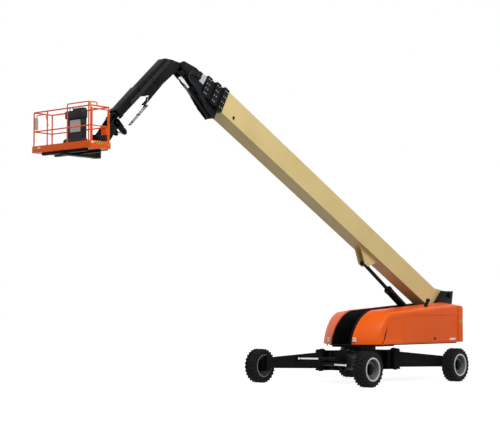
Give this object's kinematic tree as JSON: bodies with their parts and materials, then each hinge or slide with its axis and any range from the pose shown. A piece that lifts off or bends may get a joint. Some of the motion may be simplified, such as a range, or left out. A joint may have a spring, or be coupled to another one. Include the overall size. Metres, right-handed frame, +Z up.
{
  "type": "telescopic boom lift",
  "caption": "Self-propelled telescopic boom lift with swing-out axle legs, slewing turntable, telescoping boom, folding jib and a railed work platform.",
  "frame": {"origin": "slew axis on the ground between the four tyres", "axes": "+X forward along the boom and platform, +Y to the machine's left, +Z up"},
  "size_m": [18.83, 5.025, 9.9443],
  "materials": {
    "orange_panel": "gloss orange paint",
    "cream_boom": "gloss cream paint",
    "black_paint": "satin black paint",
    "black_steel": "satin black paint on sections",
    "tyre": "foam-filled lug tyre",
    "rim": "silver-grey paint",
    "rod": "hard chrome plated rod",
    "console": "moulded black plastic",
    "engine": "plain engine block"
  },
  "bodies": {
    "chassis": {"chassis_frame": "black_paint", "tie_down_lugs": "black_paint", "slew_ring": "black_paint"},
    "turntable": {"turntable_frame": "black_paint", "counterweight": "orange_panel", "hood_left": "orange_panel", "hood_right": "orange_panel", "engine_block": "engine", "exhaust": "black_paint"},
    "platform": {"platform_floor": "orange_panel", "platform_rails": "orange_panel", "console": "console"},
    "door_left": {"door_left": "orange_panel"},
    "door_right": {"door_right": "orange_panel"},
    "lift_barrel": {"lift_barrel": "black_paint"},
    "lift_rod": {"lift_rod": "rod"},
    "boom_base": {"boom_base": "cream_boom"},
    "boom_mid": {"boom_mid": "black_steel"},
    "boom_inner": {"boom_inner": "black_steel"},
    "boom_fly": {"boom_fly": "black_steel"},
    "jib_ram_rod": {"jib_ram_rod": "rod"},
    "jib_base": {"jib_base": "black_paint"},
    "jib_fly": {"jib_fly": "black_paint"},
    "level_rod": {"level_rod": "rod"},
    "platform_support": {"platform_support": "black_paint"},
    "gate": {"gate": "orange_panel"},
    "leg_fl": {"leg_fl": "black_paint"},
    "knuckle_fl": {"knuckle_fl": "black_paint"},
    "leg_ram_barrel_fl": {"leg_ram_barrel_fl": "black_paint"},
    "leg_ram_rod_fl": {"leg_ram_rod_fl": "rod"},
    "wheel_fl": {"tyre_fl": "tyre", "rim_fl": "rim"},
    "leg_fr": {"leg_fr": "black_paint"},
    "knuckle_fr": {"knuckle_fr": "black_paint"},
    "leg_ram_barrel_fr": {"leg_ram_barrel_fr": "black_paint"},
    "leg_ram_rod_fr": {"leg_ram_rod_fr": "rod"},
    "wheel_fr": {"tyre_fr": "tyre", "rim_fr": "rim"},
    "leg_rl": {"leg_rl": "black_paint"},
    "knuckle_rl": {"knuckle_rl": "black_paint"},
    "leg_ram_barrel_rl": {"leg_ram_barrel_rl": "black_paint"},
    "leg_ram_rod_rl": {"leg_ram_rod_rl": "rod"},
    "wheel_rl": {"tyre_rl": "tyre", "rim_rl": "rim"},
    "leg_rr": {"leg_rr": "black_paint"},
    "knuckle_rr": {"knuckle_rr": "black_paint"},
    "leg_ram_barrel_rr": {"leg_ram_barrel_rr": "black_paint"},
    "leg_ram_rod_rr": {"leg_ram_rod_rr": "rod"},
    "wheel_rr": {"tyre_rr": "tyre", "rim_rr": "rim"}
  },
  "joints": [
    {"name": "slew", "type": "hinge", "parent": "chassis", "child": "turntable", "pos_m": [0, 0, 1.275], "axis": [0, 0, 1], "continuous": true},
    {"name": "boom_lift", "type": "hinge", "parent": "turntable", "child": "boom_base", "pos_m": [-5.1, 0, 3.02], "axis": [0, -1, 0], "range_deg": [-26, 44]},
    {"name": "lift_ram_turn", "type": "hinge", "parent": "turntable", "child": "lift_barrel", "pos_m": [-4.3, 0, 1.6], "axis": [0, -1, 0], "range_deg": [-24.68, 41.42]},
    {"name": "lift_ram", "type": "slide", "parent": "lift_barrel", "child": "lift_rod", "axis": [0.8469, 0, 0.5318], "range_m": [-0.7542, 1.2694]},
    {"name": "boom_extend", "type": "slide", "parent": "boom_base", "child": "boom_mid", "axis": [0.8829, 0, 0.4695], "range_m": [0, 10.8]},
    {"name": "boom_extend_inner", "type": "slide", "parent": "boom_mid", "child": "boom_inner", "axis": [0.8829, 0, 0.4695], "range_m": [-0.001, 10.801]},
    {"name": "boom_extend_fly", "type": "slide", "parent": "boom_inner", "child": "boom_fly", "axis": [0.8829, 0, 0.4695], "range_m": [-0.001, 10.801]},
    {"name": "jib_lift", "type": "hinge", "parent": "boom_fly", "child": "jib_base", "pos_m": [8.82154, 0, 9.81063], "axis": [0, 1, 0], "range_deg": [-118, 7]},
    {"name": "jib_ram", "type": "slide", "parent": "boom_fly", "child": "jib_ram_rod", "axis": [0.7431, 0, 0.6691], "range_m": [-0.0426, 0.5599]},
    {"name": "jib_extend", "type": "slide", "parent": "jib_base", "child": "jib_fly", "axis": [0.766, 0, -0.6428], "range_m": [0, 1.9]},
    {"name": "platform_level", "type": "hinge", "parent": "jib_fly", "child": "platform_support", "pos_m": [11.57394, 0, 7.80134], "axis": [0, -1, 0], "range_deg": [-92, 33]},
    {"name": "level_ram", "type": "slide", "parent": "jib_fly", "child": "level_rod", "axis": [0.7108, 0, -0.7034], "range_m": [-0.4867, 0.1778]},
    {"name": "platform_rotate", "type": "hinge", "parent": "platform_support", "child": "platform", "pos_m": [12.2, 0, 6.92], "axis": [0, 0, 1], "range_deg": [-90, 90]},
    {"name": "gate_swing", "type": "hinge", "parent": "platform", "child": "gate", "pos_m": [12.8363, 1.18, 7.5], "axis": [0, 0, -1], "range_deg": [0, 85]},
    {"name": "door_left_swing", "type": "hinge", "parent": "turntable", "child": "door_left", "pos_m": [-2.645, 1.22, 2.3], "axis": [1, 0, 0], "range_deg": [0, 80]},
    {"name": "door_right_swing", "type": "hinge", "parent": "turntable", "child": "door_right", "pos_m": [-2.645, -1.22, 2.3], "axis": [-1, 0, 0], "range_deg": [0, 80]},
    {"name": "leg_swing_fl", "type": "hinge", "parent": "chassis", "child": "leg_fl", "pos_m": [1.3, 0.62, 0.77], "axis": [0, 0, -1], "range_deg": [0, 45.74]},
    {"name": "leg_ram_turn_fl", "type": "hinge", "parent": "chassis", "child": "leg_ram_barrel_fl", "pos_m": [1.56, -0.35, 0.66], "axis": [0, 0, -1], "range_deg": [-0.5, 16.43]},
    {"name": "leg_ram_fl", "type": "slide", "parent": "leg_ram_barrel_fl", "child": "leg_ram_rod_fl", "axis": [0.3033, 0.9529, 0], "range_m": [-0.531, 0.005]},
    {"name": "steer_fl", "type": "hinge", "parent": "leg_fl", "child": "knuckle_fl", "pos_m": [2.53, 1.9, 0.65], "axis": [0, 0, 1], "range_deg": [-40, 46]},
    {"name": "wheel_fl", "type": "hinge", "parent": "knuckle_fl", "child": "wheel_fl", "pos_m": [2.53, 2.29, 0.5775], "axis": [0, 1, 0], "continuous": true},
    {"name": "leg_swing_fr", "type": "hinge", "parent": "chassis", "child": "leg_fr", "pos_m": [1.3, -0.62, 0.77], "axis": [0, 0, 1], "range_deg": [-0.05, 45.79]},
    {"name": "leg_ram_turn_fr", "type": "hinge", "parent": "chassis", "child": "leg_ram_barrel_fr", "pos_m": [1.56, 0.35, 0.84], "axis": [0, 0, 1], "range_deg": [-0.5, 16.43]},
    {"name": "leg_ram_fr", "type": "slide", "parent": "leg_ram_barrel_fr", "child": "leg_ram_rod_fr", "axis": [0.3033, -0.9529, 0], "range_m": [-0.531, 0.005]},
    {"name": "steer_fr", "type": "hinge", "parent": "leg_fr", "child": "knuckle_fr", "pos_m": [2.53, -1.9, 0.65], "axis": [0, 0, -1], "range_deg": [-40, 46]},
    {"name": "wheel_fr", "type": "hinge", "parent": "knuckle_fr", "child": "wheel_fr", "pos_m": [2.53, -2.29, 0.5775], "axis": [0, 1, 0], "continuous": true},
    {"name": "leg_swing_rl", "type": "hinge", "parent": "chassis", "child": "leg_rl", "pos_m": [-1.3, 0.62, 0.77], "axis": [0, 0, 1], "range_deg": [-0.05, 45.79]},
    {"name": "leg_ram_turn_rl", "type": "hinge", "parent": "chassis", "child": "leg_ram_barrel_rl", "pos_m": [-1.56, -0.35, 0.66], "axis": [0, 0, 1], "range_deg": [-0.5, 16.43]},
    {"name": "leg_ram_rl", "type": "slide", "parent": "leg_ram_barrel_rl", "child": "leg_ram_rod_rl", "axis": [-0.3033, 0.9529, 0], "range_m": [-0.531, 0.005]},
    {"name": "steer_rl", "type": "hinge", "parent": "leg_rl", "child": "knuckle_rl", "pos_m": [-2.53, 1.9, 0.65], "axis": [0, 0, -1], "range_deg": [-40, 46]},
    {"name": "wheel_rl", "type": "hinge", "parent": "knuckle_rl", "child": "wheel_rl", "pos_m": [-2.53, 2.29, 0.5775], "axis": [0, 1, 0], "continuous": true},
    {"name": "leg_swing_rr", "type": "hinge", "parent": "chassis", "child": "leg_rr", "pos_m": [-1.3, -0.62, 0.77], "axis": [0, 0, -1], "range_deg": [-0.05, 45.79]},
    {"name": "leg_ram_turn_rr", "type": "hinge", "parent": "chassis", "child": "leg_ram_barrel_rr", "pos_m": [-1.56, 0.35, 0.84], "axis": [0, 0, -1], "range_deg": [-0.5, 16.43]},
    {"name": "leg_ram_rr", "type": "slide", "parent": "leg_ram_barrel_rr", "child": "leg_ram_rod_rr", "axis": [-0.3033, -0.9529, 0], "range_m": [-0.531, 0.005]},
    {"name": "steer_rr", "type": "hinge", "parent": "leg_rr", "child": "knuckle_rr", "pos_m": [-2.53, -1.9, 0.65], "axis": [0, 0, 1], "range_deg": [-40, 46]},
    {"name": "wheel_rr", "type": "hinge", "parent": "knuckle_rr", "child": "wheel_rr", "pos_m": [-2.53, -2.29, 0.5775], "axis": [0, 1, 0], "continuous": true}
  ],
  "couplings": [
    {"joint": "lift_ram_turn", "follows": "boom_lift", "ratio": 0.93},
    {"joint": "lift_ram", "follows": "boom_lift", "m_per_rad": 1.64},
    {"joint": "boom_extend_inner", "follows": "boom_extend", "ratio": 1},
    {"joint": "boom_extend_fly", "follows": "boom_extend", "ratio": 1},
    {"joint": "jib_ram", "follows": "jib_lift", "m_per_rad": -0.267},
    {"joint": "level_ram", "follows": "platform_level", "m_per_rad": 0.3},
    {"joint": "leg_ram_turn_fl", "follows": "leg_swing_fl", "ratio": 0.34829},
    {"joint": "leg_ram_fl", "follows": "leg_swing_fl", "m_per_rad": -0.65886},
    {"joint": "leg_swing_fr", "follows": "leg_swing_fl", "ratio": 1},
    {"joint": "leg_ram_turn_fr", "follows": "leg_swing_fl", "ratio": 0.34829},
    {"joint": "leg_ram_fr", "follows": "leg_swing_fl", "m_per_rad": -0.65886},
    {"joint": "leg_swing_rl", "follows": "leg_swing_fl", "ratio": 1},
    {"joint": "leg_ram_turn_rl", "follows": "leg_swing_fl", "ratio": 0.34829},
    {"joint": "leg_ram_rl", "follows": "leg_swing_fl", "m_per_rad": -0.65886},
    {"joint": "leg_swing_rr", "follows": "leg_swing_fl", "ratio": 1},
    {"joint": "leg_ram_turn_rr", "follows": "leg_swing_fl", "ratio": 0.34829},
    {"joint": "leg_ram_rr", "follows": "leg_swing_fl", "m_per_rad": -0.65886}
  ]
}
